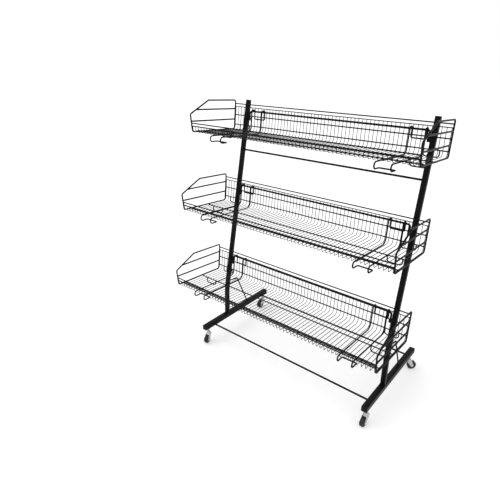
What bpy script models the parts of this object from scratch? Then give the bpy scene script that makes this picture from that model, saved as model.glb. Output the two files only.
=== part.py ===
"""Three-tier wire display stand on casters: two leaning uprights on base tubes, with
three long wire baskets hooked over cross rails. Metres, +Z up, X along the baskets,
the shopper stands at -Y."""
import math

import bmesh
import bpy
from mathutils import Matrix, Vector

# Clearances, and how finely round shapes are cut
TOUCH_GAP = 0.0003
CUT_OVERRUN = 0.002
WELD_DISTANCE = 0.00001
THIN_WIRE_STEPS = 0
WIRE_STEPS = 1
ROD_STEPS = 2
FLAT_ANGLE = math.radians(0.3)
SHARP_ANGLE = math.radians(35)
BEND_STEPS = 2
TURNED_STEPS = 10
WHEEL_STEPS = 16

# Base tubes, one under each upright
BASE_SPACING = 1.0454
BASE_WIDTH = 0.030
BASE_HEIGHT = 0.030
BASE_TOP = 0.124
BASE_FRONT_REACH = 0.2043
BASE_REAR_REACH = 0.3946
TUBE_WALL = 0.0015
PLUG_DEPTH = 0.015
BASE_CAP_THICKNESS = 0.004
CAP_ROUNDING = 0.003

# Uprights, vertical at the foot and then leaning back
UPRIGHT_WIDTH = 0.025
UPRIGHT_DEPTH = 0.020
UPRIGHT_TOP = 1.4155
UPRIGHT_LEAN = math.radians(9.88)
LEAN_START = 0.2986
LEAN_BEND_RADIUS = 0.44
LEAN_BEND_STEPS = 4
TOP_CAP_THICKNESS = 0.003

# Hanging rails, with ends bent down into sockets on the uprights
TOP_RAIL_DROP = 0.0575
RAIL_HEIGHTS = {"bottom": 0.514, "middle": 0.942, "top": UPRIGHT_TOP - TOP_RAIL_DROP}
RAIL_DIAMETER = 0.010
RAIL_BEND_RADIUS = 0.014
RAIL_LEG_LENGTH = 0.048
SOCKET_DIAMETER = 0.0156
SOCKET_LENGTH = 0.018
SOCKET_FLOOR = 0.003

# Plain bars and braces
CROSSBAR_HEIGHT = 1.146
BAR_DIAMETER = 0.010
LOW_BAR_HEIGHT = 0.104
FRONT_BAR_REACH = 0.130
REAR_BAR_REACH = 0.339
BRACE_DIAMETER = 0.008
BRACE_TOP_HEIGHT = 0.343
BRACE_APEX_REACH = 0.096
BRACE_APEX_HEIGHT = 0.330
BRACE_FOOT_REACH = 0.196
BRACE_BEND_RADIUS = 0.014

# Casters
WHEEL_DIAMETER = 0.050
WHEEL_WIDTH = 0.020
WHEEL_SHOULDER = 0.003
HUB_DIAMETER = 0.024
HUB_SETBACK = 0.0015
CASTER_TRAIL = 0.019
FRONT_STEM_INSET = 0.0303
REAR_STEM_INSET = 0.0276
FORK_SIDE_CLEARANCE = 0.001
FORK_SHEET = 0.0025
FORK_PLATE_TOP = 0.0600
FORK_PLATE_RADIUS = 0.014
FORK_EYE_RADIUS = 0.009
FORK_EYE_STEPS = 6
FORK_EYE_START = math.radians(205)
FORK_EYE_TURN = math.radians(170)
BALL_RACE_RADIUS = 0.0125
BALL_RACE_HEIGHT = 0.0075
AXLE_DIAMETER = 0.006
AXLE_HEAD_DIAMETER = 0.011
AXLE_HEAD_HEIGHT = 0.0035
STEM_DIAMETER = 0.010
STEM_COLLAR_RADIUS = 0.0085
STEM_COLLAR_HEIGHT = 0.0045
RIVET_RADIUS = 0.0075
RIVET_HEIGHT = 0.002
STEM_REACH_INTO_TUBE = 0.013
LOCK_NUT_ACROSS_CORNERS = 0.0185
LOCK_NUT_HEIGHT = 0.006
WELD_NUT_HEIGHT = 0.008
HEX_SIDES = 6
CASTER_DIRECTIONS = {
    "front_left": math.radians(193),
    "front_right": math.radians(176),
    "rear_left": math.radians(171),
    "rear_right": math.radians(-45),
}

# Basket wires
THIN_WIRE_DIAMETER = 0.003
THIN_WIRE_PITCH = 0.020
TRIM_ROD = 0.0045
RUNNER_DIAMETER = 0.006
PANEL_WIRE_DIAMETER = 0.008
PANEL_BAR_DIAMETER = 0.0075
HANGER_WIRE_DIAMETER = 0.007
LOOP_WIRE_DIAMETER = 0.006

# Basket shape, measured forward and up from the bottom of its back wall
BASKET_TILT = math.radians(3.74)
PANEL_SPACING = 1.192
BACK_LEAN = math.radians(0.59)
LIP_LEAN = math.radians(11.94)
PANEL_BACK_HEIGHT = 0.1584
PANEL_FRONT_HEIGHT = 0.0896
PANEL_TOP_LENGTH = 0.222
FLOOR_DEPTH = 0.334
FLOOR_BEND_RADIUS = 0.017
PANEL_CORNER_RADIUS = 0.012
UPPER_BAR_RISE = 0.1112
LOWER_BAR_RISE = 0.0534
BACK_RUNNERS = (0.1394, 0.0784, 0.0253)
TRIM_ROD_HEIGHT = 0.1241
TRIM_ROD_SETBACK = 0.0005
FLOOR_RUNNER_REACH = 0.142
FRONT_FLOOR_RUNNER_REACH = 0.296
LIP_RUNNER_HEIGHT = 0.0295
FRONT_ROD_RISE = 0.0440

# Loops under the baskets, and the hangers that hold them on the rails
LOOP_WIDTH = 0.068
LOOP_CORNER_RADIUS = 0.012
BACK_LOOP_DROP = 0.0303
FLOOR_LOOP_DROP = 0.0290
RAIL_SEAT_HEIGHT = 0.103
HANGER_POST_GAP = 0.0407
HANGER_WIDTH = 0.070
HANGER_CORNER_RADIUS = 0.007
HOOK_SIDE_CLEARANCE = 0.0012
HOOK_LENGTH = 0.050
FRONT_HOOK_REACH = 0.304
FRONT_HOOK_RADIUS = 0.0147
FRONT_HOOK_STEPS = 4
FRONT_HOOK_TAIL = 0.036

# Where each basket has been hung, along its rail
BASKET_SHIFTS = {"bottom": 0.003, "middle": -0.006, "top": 0.006}

HALF_SHARE = 0.5
RIGHT_ANGLE = math.radians(90)
HALF_TURN = math.radians(180)
FULL_TURN = math.radians(360)
BASE_X = BASE_SPACING * HALF_SHARE
BASE_BOTTOM = BASE_TOP - BASE_HEIGHT
HANGER_OUTER_X = BASE_X - HANGER_POST_GAP
HANGER_INNER_X = HANGER_OUTER_X - HANGER_WIDTH
STEM_PLACES = {"front": FRONT_STEM_INSET - BASE_FRONT_REACH, "rear": BASE_REAR_REACH - REAR_STEM_INSET}
SIDES = {"left": -1, "right": 1}


def clear_scene():
    for old in list(bpy.data.objects):
        bpy.data.objects.remove(old)


def new_collection(name):
    group = bpy.data.collections.new(name)
    bpy.context.scene.collection.children.link(group)
    return group


def new_material(name, color, roughness, metallic):
    material = bpy.data.materials.new(name)
    material.use_nodes = True
    shader = material.node_tree.nodes["Principled BSDF"]
    shader.inputs["Base Color"].default_value = color
    shader.inputs["Roughness"].default_value = roughness
    shader.inputs["Metallic"].default_value = metallic
    return material


clear_scene()
STAND = new_collection("snack_display_stand")
CUTTERS = new_collection("cutters")
BLACK = new_material("black_powder_coat", (0.012, 0.012, 0.013, 1), 0.42, 0)
ZINC = new_material("bright_zinc", (0.72, 0.73, 0.75, 1), 0.28, 1)
TREAD = new_material("black_tread", (0.015, 0.015, 0.016, 1), 0.55, 0)
PLUG = new_material("black_plug", (0.010, 0.010, 0.011, 1), 0.5, 0)


def new_object(name, data):
    thing = bpy.data.objects.new(name, data)
    STAND.objects.link(thing)
    return thing


def make_guide(thing):
    """Keeps a cutter out of the part."""
    STAND.objects.unlink(thing)
    CUTTERS.objects.link(thing)
    thing.hide_render = True
    thing.display_type = "WIRE"


def new_empty(name, parent, place=(0, 0, 0), turn=(0, 0, 0)):
    empty = new_object(name, None)
    empty.parent = parent
    empty.location = place
    empty.rotation_euler = turn
    return empty


def baked(thing):
    """Mesh of a curve, or of a mesh with its modifiers, with its loose caps welded on."""
    seen = thing.evaluated_get(bpy.context.evaluated_depsgraph_get())
    mesh = bpy.data.meshes.new_from_object(seen)
    work = bmesh.new()
    work.from_mesh(mesh)
    bmesh.ops.remove_doubles(work, verts=work.verts, dist=WELD_DISTANCE)
    bmesh.ops.recalc_face_normals(work, faces=work.faces)
    work.to_mesh(mesh)
    work.free()
    return mesh


def as_mesh(thing):
    """Takes the place of a curve with a mesh of the same name."""
    name = thing.name
    solid = new_object(name + "_mesh", baked(thing))
    solid.matrix_world = thing.matrix_world
    bpy.data.objects.remove(thing)
    solid.name = name
    return solid


def box(name, size, centre=(0, 0, 0)):
    mesh = bpy.data.meshes.new(name)
    work = bmesh.new()
    bmesh.ops.create_cube(work, size=1, matrix=Matrix.Translation(centre) @ Matrix.Diagonal((*size, 1)))
    work.to_mesh(mesh)
    work.free()
    return new_object(name, mesh)


def cylinder(name, radius, height, centre, sides):
    """Upright cylinder or prism."""
    mesh = bpy.data.meshes.new(name)
    work = bmesh.new()
    bmesh.ops.create_cone(work, cap_ends=True, segments=sides, radius1=radius, radius2=radius,
                          depth=height, matrix=Matrix.Translation(centre))
    work.to_mesh(mesh)
    work.free()
    return new_object(name, mesh)


def turned(name, profile, steps, closed=False):
    """Turns (radius, height) points, listed down the outer side, round Z."""
    mesh = bpy.data.meshes.new(name)
    points = [(radius, 0, height) for radius, height in profile]
    edges = [(i, i + 1) for i in range(len(points) - 1)]
    if closed:
        edges.append((len(points) - 1, 0))
    mesh.from_pydata(points, edges, [])
    thing = new_object(name, mesh)
    screw = thing.modifiers.new("turn", "SCREW")
    screw.angle = FULL_TURN
    screw.steps = steps
    screw.render_steps = steps
    screw.use_merge_vertices = True
    screw.merge_threshold = WELD_DISTANCE
    return thing


def rods(name, runs, diameter, steps, closed=False, tilt=0):
    """One mesh of round rods, each along its own run of points."""
    curve = bpy.data.curves.new(name, "CURVE")
    curve.dimensions = "3D"
    curve.bevel_depth = diameter * HALF_SHARE
    curve.bevel_resolution = steps
    curve.use_fill_caps = True
    for run in runs:
        spline = curve.splines.new("POLY")
        spline.points.add(len(run) - 1)
        spline.use_cyclic_u = closed
        for knot, point in zip(spline.points, run):
            knot.co = (*point, 1)
            knot.tilt = tilt
    return as_mesh(new_object(name, curve))


def side_plate(name, outline, thickness):
    """Flat (y, z) outline, given a thickness along X and centred on X = 0."""
    curve = bpy.data.curves.new(name, "CURVE")
    curve.dimensions = "2D"
    curve.fill_mode = "BOTH"
    curve.extrude = thickness * HALF_SHARE
    spline = curve.splines.new("POLY")
    spline.points.add(len(outline) - 1)
    spline.use_cyclic_u = True
    for knot, point in zip(spline.points, outline):
        knot.co = (*point, 0, 1)
    plate = as_mesh(new_object(name, curve))
    plate.data.transform(Matrix(((0, 0, 1, 0), (1, 0, 0, 0), (0, 1, 0, 0), (0, 0, 0, 1))))
    return plate


def combine(thing, other, operation):
    """Adds a live Boolean and puts the other object among the cutters."""
    modifier = thing.modifiers.new(operation.lower(), "BOOLEAN")
    modifier.operation = operation
    modifier.solver = "EXACT"
    modifier.object = other
    make_guide(other)


def cut(thing, other):
    combine(thing, other, "DIFFERENCE")


def join(thing, other):
    combine(thing, other, "UNION")


def settle(thing):
    """Applies the Booleans, clears needless edges on flats and deletes the cutters."""
    used = [modifier.object for modifier in thing.modifiers if modifier.type == "BOOLEAN"]
    mesh = baked(thing)
    if used:
        work = bmesh.new()
        work.from_mesh(mesh)
        bmesh.ops.dissolve_limit(work, angle_limit=FLAT_ANGLE, verts=work.verts, edges=work.edges)
        work.to_mesh(mesh)
        work.free()
    thing.modifiers.clear()
    thing.data = mesh
    for other in used:
        bpy.data.objects.remove(other)
    return thing


def smooth(mesh):
    mesh.shade_smooth()
    mesh.set_sharp_from_angle(angle=SHARP_ANGLE)


def dress(thing, name, material, parent):
    thing.name = name
    thing.data.materials.clear()
    thing.data.materials.append(material)
    thing.parent = parent
    return thing


def copies(thing, names, material, parents):
    """Settles a master piece and makes one object of its mesh for each name."""
    settle(thing)
    smooth(thing.data)
    dress(thing, names[0], material, parents[0])
    for name, parent in zip(names[1:], parents[1:]):
        dress(new_object(name, thing.data), name, material, parent)


def rounded(points, radius, steps, closed=False):
    """Replaces the corners of a run by arcs of one centre-line radius."""
    points = [Vector(point) for point in points]
    count = len(points)
    result = []
    for index, corner in enumerate(points):
        if not closed and index in (0, count - 1):
            result.append(corner)
            continue
        back = (points[index - 1] - corner).normalized()
        ahead = (points[(index + 1) % count] - corner).normalized()
        bend = HALF_TURN - back.angle(ahead)
        reach = radius * math.tan(bend * HALF_SHARE)
        centre = corner + (back + ahead).normalized() * (radius / math.cos(bend * HALF_SHARE))
        start = corner + back * reach - centre
        axis = start.cross(corner + ahead * reach - centre).normalized()
        for step in range(steps + 1):
            result.append(centre + Matrix.Rotation(bend * step / steps, 3, axis) @ start)
    return result


def clear_radius(radius, sides):
    """Corner radius of a cut prism whose flats stay one gap away from a round shank."""
    return (radius + TOUCH_GAP) / math.cos(math.pi / sides)


# Base tubes with their end plugs and caster holes

def upright_y(height):
    """Centre line of an upright above its bend."""
    return (height - LEAN_START) * math.tan(UPRIGHT_LEAN)


def make_base(root):
    length = BASE_FRONT_REACH + BASE_REAR_REACH
    middle = (BASE_REAR_REACH - BASE_FRONT_REACH) * HALF_SHARE
    height = (BASE_TOP + BASE_BOTTOM) * HALF_SHARE
    tube = box("base_tube", (BASE_WIDTH, length, BASE_HEIGHT), (0, middle, height))
    bore = (BASE_WIDTH - 2 * TUBE_WALL, length + CUT_OVERRUN, BASE_HEIGHT - 2 * TUBE_WALL)
    cut(tube, box("base_bore", bore, (0, middle, height)))
    for reach in STEM_PLACES.values():
        hole = clear_radius(STEM_DIAMETER * HALF_SHARE, TURNED_STEPS)
        depth = 2 * (TUBE_WALL + CUT_OVERRUN)
        cut(tube, cylinder("stem_hole", hole, depth, (0, reach, BASE_BOTTOM), TURNED_STEPS))
    parents = [new_empty(f"base_{side}", root, (sign * BASE_X, 0, 0)) for side, sign in SIDES.items()]
    copies(tube, [f"base_tube_{side}" for side in SIDES], BLACK, parents)

    plate = (BASE_WIDTH, BASE_CAP_THICKNESS, BASE_HEIGHT)
    cap = box("base_cap", plate, (0, -TOUCH_GAP - BASE_CAP_THICKNESS * HALF_SHARE, 0))
    edge = cap.modifiers.new("edge", "BEVEL")
    edge.width = CAP_ROUNDING
    edge.limit_method = "NONE"
    cap.data = baked(cap)
    cap.modifiers.clear()
    shrink = 2 * (TUBE_WALL + TOUCH_GAP)
    plug_length = PLUG_DEPTH + TOUCH_GAP + BASE_CAP_THICKNESS * HALF_SHARE
    plug = (BASE_WIDTH - shrink, plug_length, BASE_HEIGHT - shrink)
    join(cap, box("plug", plug, (0, PLUG_DEPTH - plug_length * HALF_SHARE, 0)))
    names = [f"base_cap_{end}_{side}" for side in SIDES for end in ("front", "rear")]
    seats = []
    for parent in parents:
        seats.append(new_empty("front_end", parent, (0, -BASE_FRONT_REACH, height)))
        seats.append(new_empty("rear_end", parent, (0, BASE_REAR_REACH, height), (0, 0, HALF_TURN)))
    copies(cap, names, PLUG, seats)
    return parents


# Uprights, swept as a ribbon in the side plane and hollowed out

def ribbon(path, half_width):
    """Outline of a strip that follows a path of (y, z) points and unit directions."""
    rear = [(y + dz * half_width, z - dy * half_width) for y, z, dy, dz in path]
    front = [(y - dz * half_width, z + dy * half_width) for y, z, dy, dz in path]
    return rear + front[::-1]


def upright_path(overrun):
    start = LEAN_START - LEAN_BEND_RADIUS * math.tan(UPRIGHT_LEAN * HALF_SHARE)
    path = [(0, BASE_TOP + TOUCH_GAP - overrun, 0, 1)]
    for step in range(LEAN_BEND_STEPS + 1):
        turn = UPRIGHT_LEAN * step / LEAN_BEND_STEPS
        back = LEAN_BEND_RADIUS * (1 - math.cos(turn))
        path.append((back, start + LEAN_BEND_RADIUS * math.sin(turn), math.sin(turn), math.cos(turn)))
    dy, dz = math.sin(UPRIGHT_LEAN), math.cos(UPRIGHT_LEAN)
    path.append((upright_y(UPRIGHT_TOP) + dy * overrun, UPRIGHT_TOP + dz * overrun, dy, dz))
    return path


def make_uprights(bases):
    tube = side_plate("upright", ribbon(upright_path(0), UPRIGHT_DEPTH * HALF_SHARE), UPRIGHT_WIDTH)
    bore = ribbon(upright_path(CUT_OVERRUN), UPRIGHT_DEPTH * HALF_SHARE - TUBE_WALL)
    cut(tube, side_plate("upright_bore", bore, UPRIGHT_WIDTH - 2 * TUBE_WALL))
    copies(tube, [f"upright_{side}" for side in SIDES], BLACK, bases)

    cap = box("top_cap", (UPRIGHT_WIDTH, UPRIGHT_DEPTH, TOP_CAP_THICKNESS),
              (0, 0, TOUCH_GAP + TOP_CAP_THICKNESS * HALF_SHARE))
    shrink = 2 * (TUBE_WALL + TOUCH_GAP)
    plug_length = PLUG_DEPTH + TOUCH_GAP + TOP_CAP_THICKNESS * HALF_SHARE
    plug = (UPRIGHT_WIDTH - shrink, UPRIGHT_DEPTH - shrink, plug_length)
    join(cap, box("plug", plug, (0, 0, plug_length * HALF_SHARE - PLUG_DEPTH)))
    place = (0, upright_y(UPRIGHT_TOP), UPRIGHT_TOP)
    seats = [new_empty("upright_end", base, place, (-UPRIGHT_LEAN, 0, 0)) for base in bases]
    copies(cap, [f"top_cap_{side}" for side in SIDES], PLUG, seats)


# Hanging rails, bent down at both ends into sockets welded to the uprights

def rail_seat(root, name, height):
    """Frame on the uprights' centre plane, with its Z up along the uprights."""
    return new_empty(name, root, (0, upright_y(height), height), (-UPRIGHT_LEAN, 0, 0))


def make_rails(root):
    inner_face = BASE_X - UPRIGHT_WIDTH * HALF_SHARE
    leg_x = inner_face - TOUCH_GAP - SOCKET_DIAMETER * HALF_SHARE
    run = [(-leg_x, 0, -RAIL_LEG_LENGTH), (-leg_x, 0, 0), (leg_x, 0, 0), (leg_x, 0, -RAIL_LEG_LENGTH)]
    rail = rods("rail", [rounded(run, RAIL_BEND_RADIUS, BEND_STEPS)], RAIL_DIAMETER, ROD_STEPS)
    seats = [rail_seat(root, f"{tier}_tier", height) for tier, height in RAIL_HEIGHTS.items()]
    copies(rail, [f"hanging_rail_{tier}" for tier in RAIL_HEIGHTS], BLACK, seats)

    bottom = -RAIL_LEG_LENGTH - TOUCH_GAP - SOCKET_FLOOR
    socket = cylinder("socket", SOCKET_DIAMETER * HALF_SHARE, SOCKET_LENGTH,
                      (0, 0, bottom + SOCKET_LENGTH * HALF_SHARE), TURNED_STEPS)
    bore_length = SOCKET_LENGTH - SOCKET_FLOOR + CUT_OVERRUN
    bore = clear_radius(RAIL_DIAMETER * HALF_SHARE, TURNED_STEPS)
    cut(socket, cylinder("socket_bore", bore, bore_length,
                         (0, 0, bottom + SOCKET_FLOOR + bore_length * HALF_SHARE), TURNED_STEPS))
    names = [f"rail_socket_{tier}_{side}" for tier in RAIL_HEIGHTS for side in SIDES]
    parents = [new_empty("socket_seat", seat, (sign * leg_x, 0, 0))
               for seat in seats for sign in SIDES.values()]
    copies(socket, names, BLACK, parents)
    return seats


def make_bars(root):
    reach = BASE_X - UPRIGHT_WIDTH * HALF_SHARE - TOUCH_GAP
    crossbar = rods("crossbar", [[(-reach, 0, 0), (reach, 0, 0)]], BAR_DIAMETER, ROD_STEPS)
    smooth(crossbar.data)
    dress(crossbar, "upper_crossbar", BLACK, rail_seat(root, "crossbar_seat", CROSSBAR_HEIGHT))
    reach = BASE_X - BASE_WIDTH * HALF_SHARE - TOUCH_GAP
    bar = rods("low_bar", [[(-reach, 0, 0), (reach, 0, 0)]], BAR_DIAMETER, ROD_STEPS)
    seats = [new_empty("front_bar_seat", root, (0, -FRONT_BAR_REACH, LOW_BAR_HEIGHT)),
             new_empty("rear_bar_seat", root, (0, REAR_BAR_REACH, LOW_BAR_HEIGHT))]
    copies(bar, ["lower_bar_front", "lower_bar_rear"], BLACK, seats)


def make_braces(bases):
    """Bent rod from the back of each upright over an apex and down to the base tube."""
    start = (0, upright_y(BRACE_TOP_HEIGHT), BRACE_TOP_HEIGHT)
    apex = (0, BRACE_APEX_REACH, BRACE_APEX_HEIGHT)
    foot = (0, BRACE_FOOT_REACH, BASE_TOP - CUT_OVERRUN)
    brace = rods("brace", [rounded([start, apex, foot], BRACE_BEND_RADIUS, BEND_STEPS)],
                 BRACE_DIAMETER, ROD_STEPS)
    cut(brace, side_plate("upright_space", ribbon(upright_path(0), UPRIGHT_DEPTH * HALF_SHARE + TOUCH_GAP),
                          UPRIGHT_WIDTH))
    reach = BRACE_FOOT_REACH * 2
    cut(brace, box("base_space", (BASE_WIDTH, reach, BASE_HEIGHT),
                   (0, reach * HALF_SHARE, BASE_TOP + TOUCH_GAP - BASE_HEIGHT * HALF_SHARE)))
    copies(brace, [f"brace_{side}" for side in SIDES], BLACK, bases)


# Casters: threaded stem with two nuts, swivelling fork, axle and wheel

def make_fork():
    axle_height = WHEEL_DIAMETER * HALF_SHARE
    under_plate = FORK_PLATE_TOP - FORK_SHEET
    outline = [(-FORK_PLATE_RADIUS, FORK_PLATE_TOP), (-FORK_PLATE_RADIUS, under_plate)]
    for step in range(FORK_EYE_STEPS + 1):
        turn = FORK_EYE_START + FORK_EYE_TURN * step / FORK_EYE_STEPS
        outline.append((CASTER_TRAIL + FORK_EYE_RADIUS * math.cos(turn),
                        axle_height + FORK_EYE_RADIUS * math.sin(turn)))
    outline += [(FORK_PLATE_RADIUS, under_plate), (FORK_PLATE_RADIUS, FORK_PLATE_TOP)]
    inner_width = WHEEL_WIDTH + 2 * FORK_SIDE_CLEARANCE
    outer_width = inner_width + 2 * FORK_SHEET
    fork = side_plate("fork", outline, outer_width)
    reach = CASTER_TRAIL + FORK_EYE_RADIUS + FORK_PLATE_RADIUS
    cut(fork, box("fork_slot", (inner_width, 2 * reach, under_plate * 2), (0, 0, 0)))
    race_base = FORK_PLATE_TOP - FORK_SHEET * HALF_SHARE
    race_height = BALL_RACE_HEIGHT + FORK_SHEET * HALF_SHARE
    join(fork, cylinder("ball_race", BALL_RACE_RADIUS, race_height,
                        (0, 0, race_base + race_height * HALF_SHARE), TURNED_STEPS))
    hole = clear_radius(STEM_DIAMETER * HALF_SHARE, TURNED_STEPS)
    depth = FORK_SHEET + BALL_RACE_HEIGHT + 2 * CUT_OVERRUN
    cut(fork, cylinder("stem_way", hole, depth, (0, 0, under_plate - CUT_OVERRUN + depth * HALF_SHARE),
                       TURNED_STEPS))
    eye = cylinder("axle_way", clear_radius(AXLE_DIAMETER * HALF_SHARE, TURNED_STEPS),
                   outer_width + CUT_OVERRUN, (0, 0, 0), TURNED_STEPS)
    across = Matrix.Rotation(RIGHT_ANGLE, 4, "Y")
    eye.data.transform(Matrix.Translation((0, CASTER_TRAIL, axle_height)) @ across)
    cut(fork, eye)
    return fork


def make_wheel():
    """Turned tyre and hub; its flats, not its corners, lie on the tread radius."""
    tread = WHEEL_DIAMETER * HALF_SHARE / math.cos(math.pi / WHEEL_STEPS)
    side = WHEEL_WIDTH * HALF_SHARE
    bore = clear_radius(AXLE_DIAMETER * HALF_SHARE, WHEEL_STEPS)
    hub = HUB_DIAMETER * HALF_SHARE
    profile = [(bore, side), (hub, side), (hub, side - HUB_SETBACK),
               (tread - WHEEL_SHOULDER, side - HUB_SETBACK), (tread, side - WHEEL_SHOULDER)]
    lower = [(radius, -height) for radius, height in reversed(profile)]
    wheel = turned("wheel", profile + lower, WHEEL_STEPS, closed=True)
    axis_to_x = Matrix.Rotation(RIGHT_ANGLE, 4, "Y") @ Matrix.Rotation(math.pi / WHEEL_STEPS, 4, "Z")
    wheel.data = baked(wheel)
    wheel.modifiers.clear()
    wheel.data.transform(axis_to_x)
    return wheel


def make_axle():
    fork_half = WHEEL_WIDTH * HALF_SHARE + FORK_SIDE_CLEARANCE + FORK_SHEET + TOUCH_GAP
    shank = AXLE_DIAMETER * HALF_SHARE
    head = AXLE_HEAD_DIAMETER * HALF_SHARE
    end = fork_half + AXLE_HEAD_HEIGHT
    profile = [(0, end), (head, end), (head, fork_half), (shank, fork_half)]
    lower = [(radius, -height) for radius, height in reversed(profile)]
    axle = turned("axle", profile + lower, TURNED_STEPS)
    axle.data = baked(axle)
    axle.modifiers.clear()
    axle.data.transform(Matrix.Rotation(RIGHT_ANGLE, 4, "Y"))
    return axle


def make_stem():
    """Threaded stem: rivet head under the fork plate, collar on the ball race, then thread."""
    shank = STEM_DIAMETER * HALF_SHARE
    top = BASE_BOTTOM + STEM_REACH_INTO_TUBE
    collar_base = FORK_PLATE_TOP + BALL_RACE_HEIGHT + TOUCH_GAP
    collar_top = collar_base + STEM_COLLAR_HEIGHT
    rivet_top = FORK_PLATE_TOP - FORK_SHEET - TOUCH_GAP
    rivet_base = rivet_top - RIVET_HEIGHT
    profile = [(0, top), (shank, top), (shank, collar_top), (STEM_COLLAR_RADIUS, collar_top),
               (STEM_COLLAR_RADIUS, collar_base), (shank, collar_base), (shank, rivet_top),
               (RIVET_RADIUS, rivet_top), (RIVET_RADIUS, rivet_base), (0, rivet_base)]
    return turned("stem", profile, TURNED_STEPS)


def make_nut(name, height, base):
    centre = (0, 0, base + height * HALF_SHARE)
    nut = cylinder(name, LOCK_NUT_ACROSS_CORNERS * HALF_SHARE, height, centre, HEX_SIDES)
    hole = clear_radius(STEM_DIAMETER * HALF_SHARE, TURNED_STEPS)
    cut(nut, cylinder(name + "_hole", hole, height + CUT_OVERRUN, centre, TURNED_STEPS))
    return nut


def make_casters(root):
    corners = list(CASTER_DIRECTIONS)
    fixed, swivels, wheels = [], [], []
    for corner in corners:
        end, side = corner.split("_")
        place = new_empty(f"caster_place_{corner}", root, (SIDES[side] * BASE_X, STEM_PLACES[end], 0))
        swivel = new_empty(f"caster_swivel_{corner}", place, turn=(0, 0, CASTER_DIRECTIONS[corner]))
        spin = new_empty(f"wheel_spin_{corner}", swivel, (0, CASTER_TRAIL, WHEEL_DIAMETER * HALF_SHARE))
        fixed.append(place)
        swivels.append(swivel)
        wheels.append(spin)
    lock_base = BASE_BOTTOM - TOUCH_GAP - LOCK_NUT_HEIGHT
    weld_base = BASE_BOTTOM + TUBE_WALL + TOUCH_GAP
    pieces = (
        (make_stem(), "caster_stem", ZINC, fixed),
        (make_nut("lock_nut", LOCK_NUT_HEIGHT, lock_base), "caster_lock_nut", ZINC, fixed),
        (make_nut("weld_nut", WELD_NUT_HEIGHT, weld_base), "caster_weld_nut", ZINC, fixed),
        (make_fork(), "caster_fork", ZINC, swivels),
        (make_axle(), "caster_axle", ZINC, wheels),
        (make_wheel(), "caster_wheel", TREAD, wheels),
    )
    for master, name, material, parents in pieces:
        copies(master, [f"{name}_{corner}" for corner in corners], material, parents)


# Baskets, drawn in their own frame: X along, forward and up from the back-bottom corner

def at(x, forward, up):
    return Vector((x, -forward, up))


def back_reach(up, offset=0):
    """Forward place of something that lies behind the back wall's thin wires."""
    return -offset - up * math.tan(BACK_LEAN)


def lip_reach(up, offset=0):
    """Forward place of something that lies in front of the lip's thin wires."""
    return FLOOR_DEPTH + up * math.tan(LIP_LEAN) + offset / math.cos(LIP_LEAN)


RUNNER_OFFSET = (THIN_WIRE_DIAMETER + RUNNER_DIAMETER) * HALF_SHARE + TOUCH_GAP
HANGER_OFFSET = RUNNER_OFFSET + (RUNNER_DIAMETER + HANGER_WIRE_DIAMETER) * HALF_SHARE + TOUCH_GAP
LOOP_OFFSET = (THIN_WIRE_DIAMETER + LOOP_WIRE_DIAMETER) * HALF_SHARE + TOUCH_GAP


def rail_reach():
    """Forward place of the hanging rail that lets the back loops bear on the uprights."""
    slope = math.tan(UPRIGHT_LEAN - BASKET_TILT)
    loop_up = BACK_RUNNERS[-1] - BACK_LOOP_DROP
    stand_off = UPRIGHT_DEPTH * HALF_SHARE + TOUCH_GAP + LOOP_WIRE_DIAMETER * HALF_SHARE
    loop_place = back_reach(loop_up, LOOP_OFFSET)
    return loop_place - (RAIL_SEAT_HEIGHT - loop_up) * slope - stand_off / math.cos(math.atan(slope))


def panel_outline(x):
    top_back = at(x, back_reach(PANEL_BACK_HEIGHT), PANEL_BACK_HEIGHT)
    top_front = at(x, back_reach(PANEL_BACK_HEIGHT) + PANEL_TOP_LENGTH, PANEL_BACK_HEIGHT)
    front_top = at(x, lip_reach(PANEL_FRONT_HEIGHT), PANEL_FRONT_HEIGHT)
    corners = [at(x, 0, 0), top_back, top_front, front_top, at(x, lip_reach(0), 0)]
    return rounded(corners, PANEL_CORNER_RADIUS, BEND_STEPS, closed=True)


def panel_bars(x):
    share = (UPPER_BAR_RISE - PANEL_FRONT_HEIGHT) / (PANEL_BACK_HEIGHT - PANEL_FRONT_HEIGHT)
    slant_low = lip_reach(PANEL_FRONT_HEIGHT)
    slant_high = back_reach(PANEL_BACK_HEIGHT) + PANEL_TOP_LENGTH
    upper_end = slant_low + share * (slant_high - slant_low)
    upper = [at(x, back_reach(UPPER_BAR_RISE), UPPER_BAR_RISE), at(x, upper_end, UPPER_BAR_RISE)]
    lower_reaches = (back_reach(LOWER_BAR_RISE), lip_reach(LOWER_BAR_RISE))
    lower = [at(x, forward, LOWER_BAR_RISE) for forward in lower_reaches]
    return [upper, lower]


def runner_places():
    """(forward, up) of each long rod: those that the thin wires lie on, then the bare front rod."""
    places = [(back_reach(up, RUNNER_OFFSET), up) for up in BACK_RUNNERS]
    places.append((FLOOR_RUNNER_REACH, -RUNNER_OFFSET))
    places.append((FRONT_FLOOR_RUNNER_REACH, RUNNER_OFFSET))
    places.append((lip_reach(LIP_RUNNER_HEIGHT, RUNNER_OFFSET), LIP_RUNNER_HEIGHT))
    places.append((lip_reach(FRONT_ROD_RISE), FRONT_ROD_RISE))
    return places


def loop_run(x, forward, up, lower_forward, drop):
    half = LOOP_WIDTH * HALF_SHARE
    corners = [at(x - half, forward, up), at(x - half, lower_forward, up - drop),
               at(x + half, lower_forward, up - drop), at(x + half, forward, up)]
    return rounded(corners, LOOP_CORNER_RADIUS, BEND_STEPS)


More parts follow.
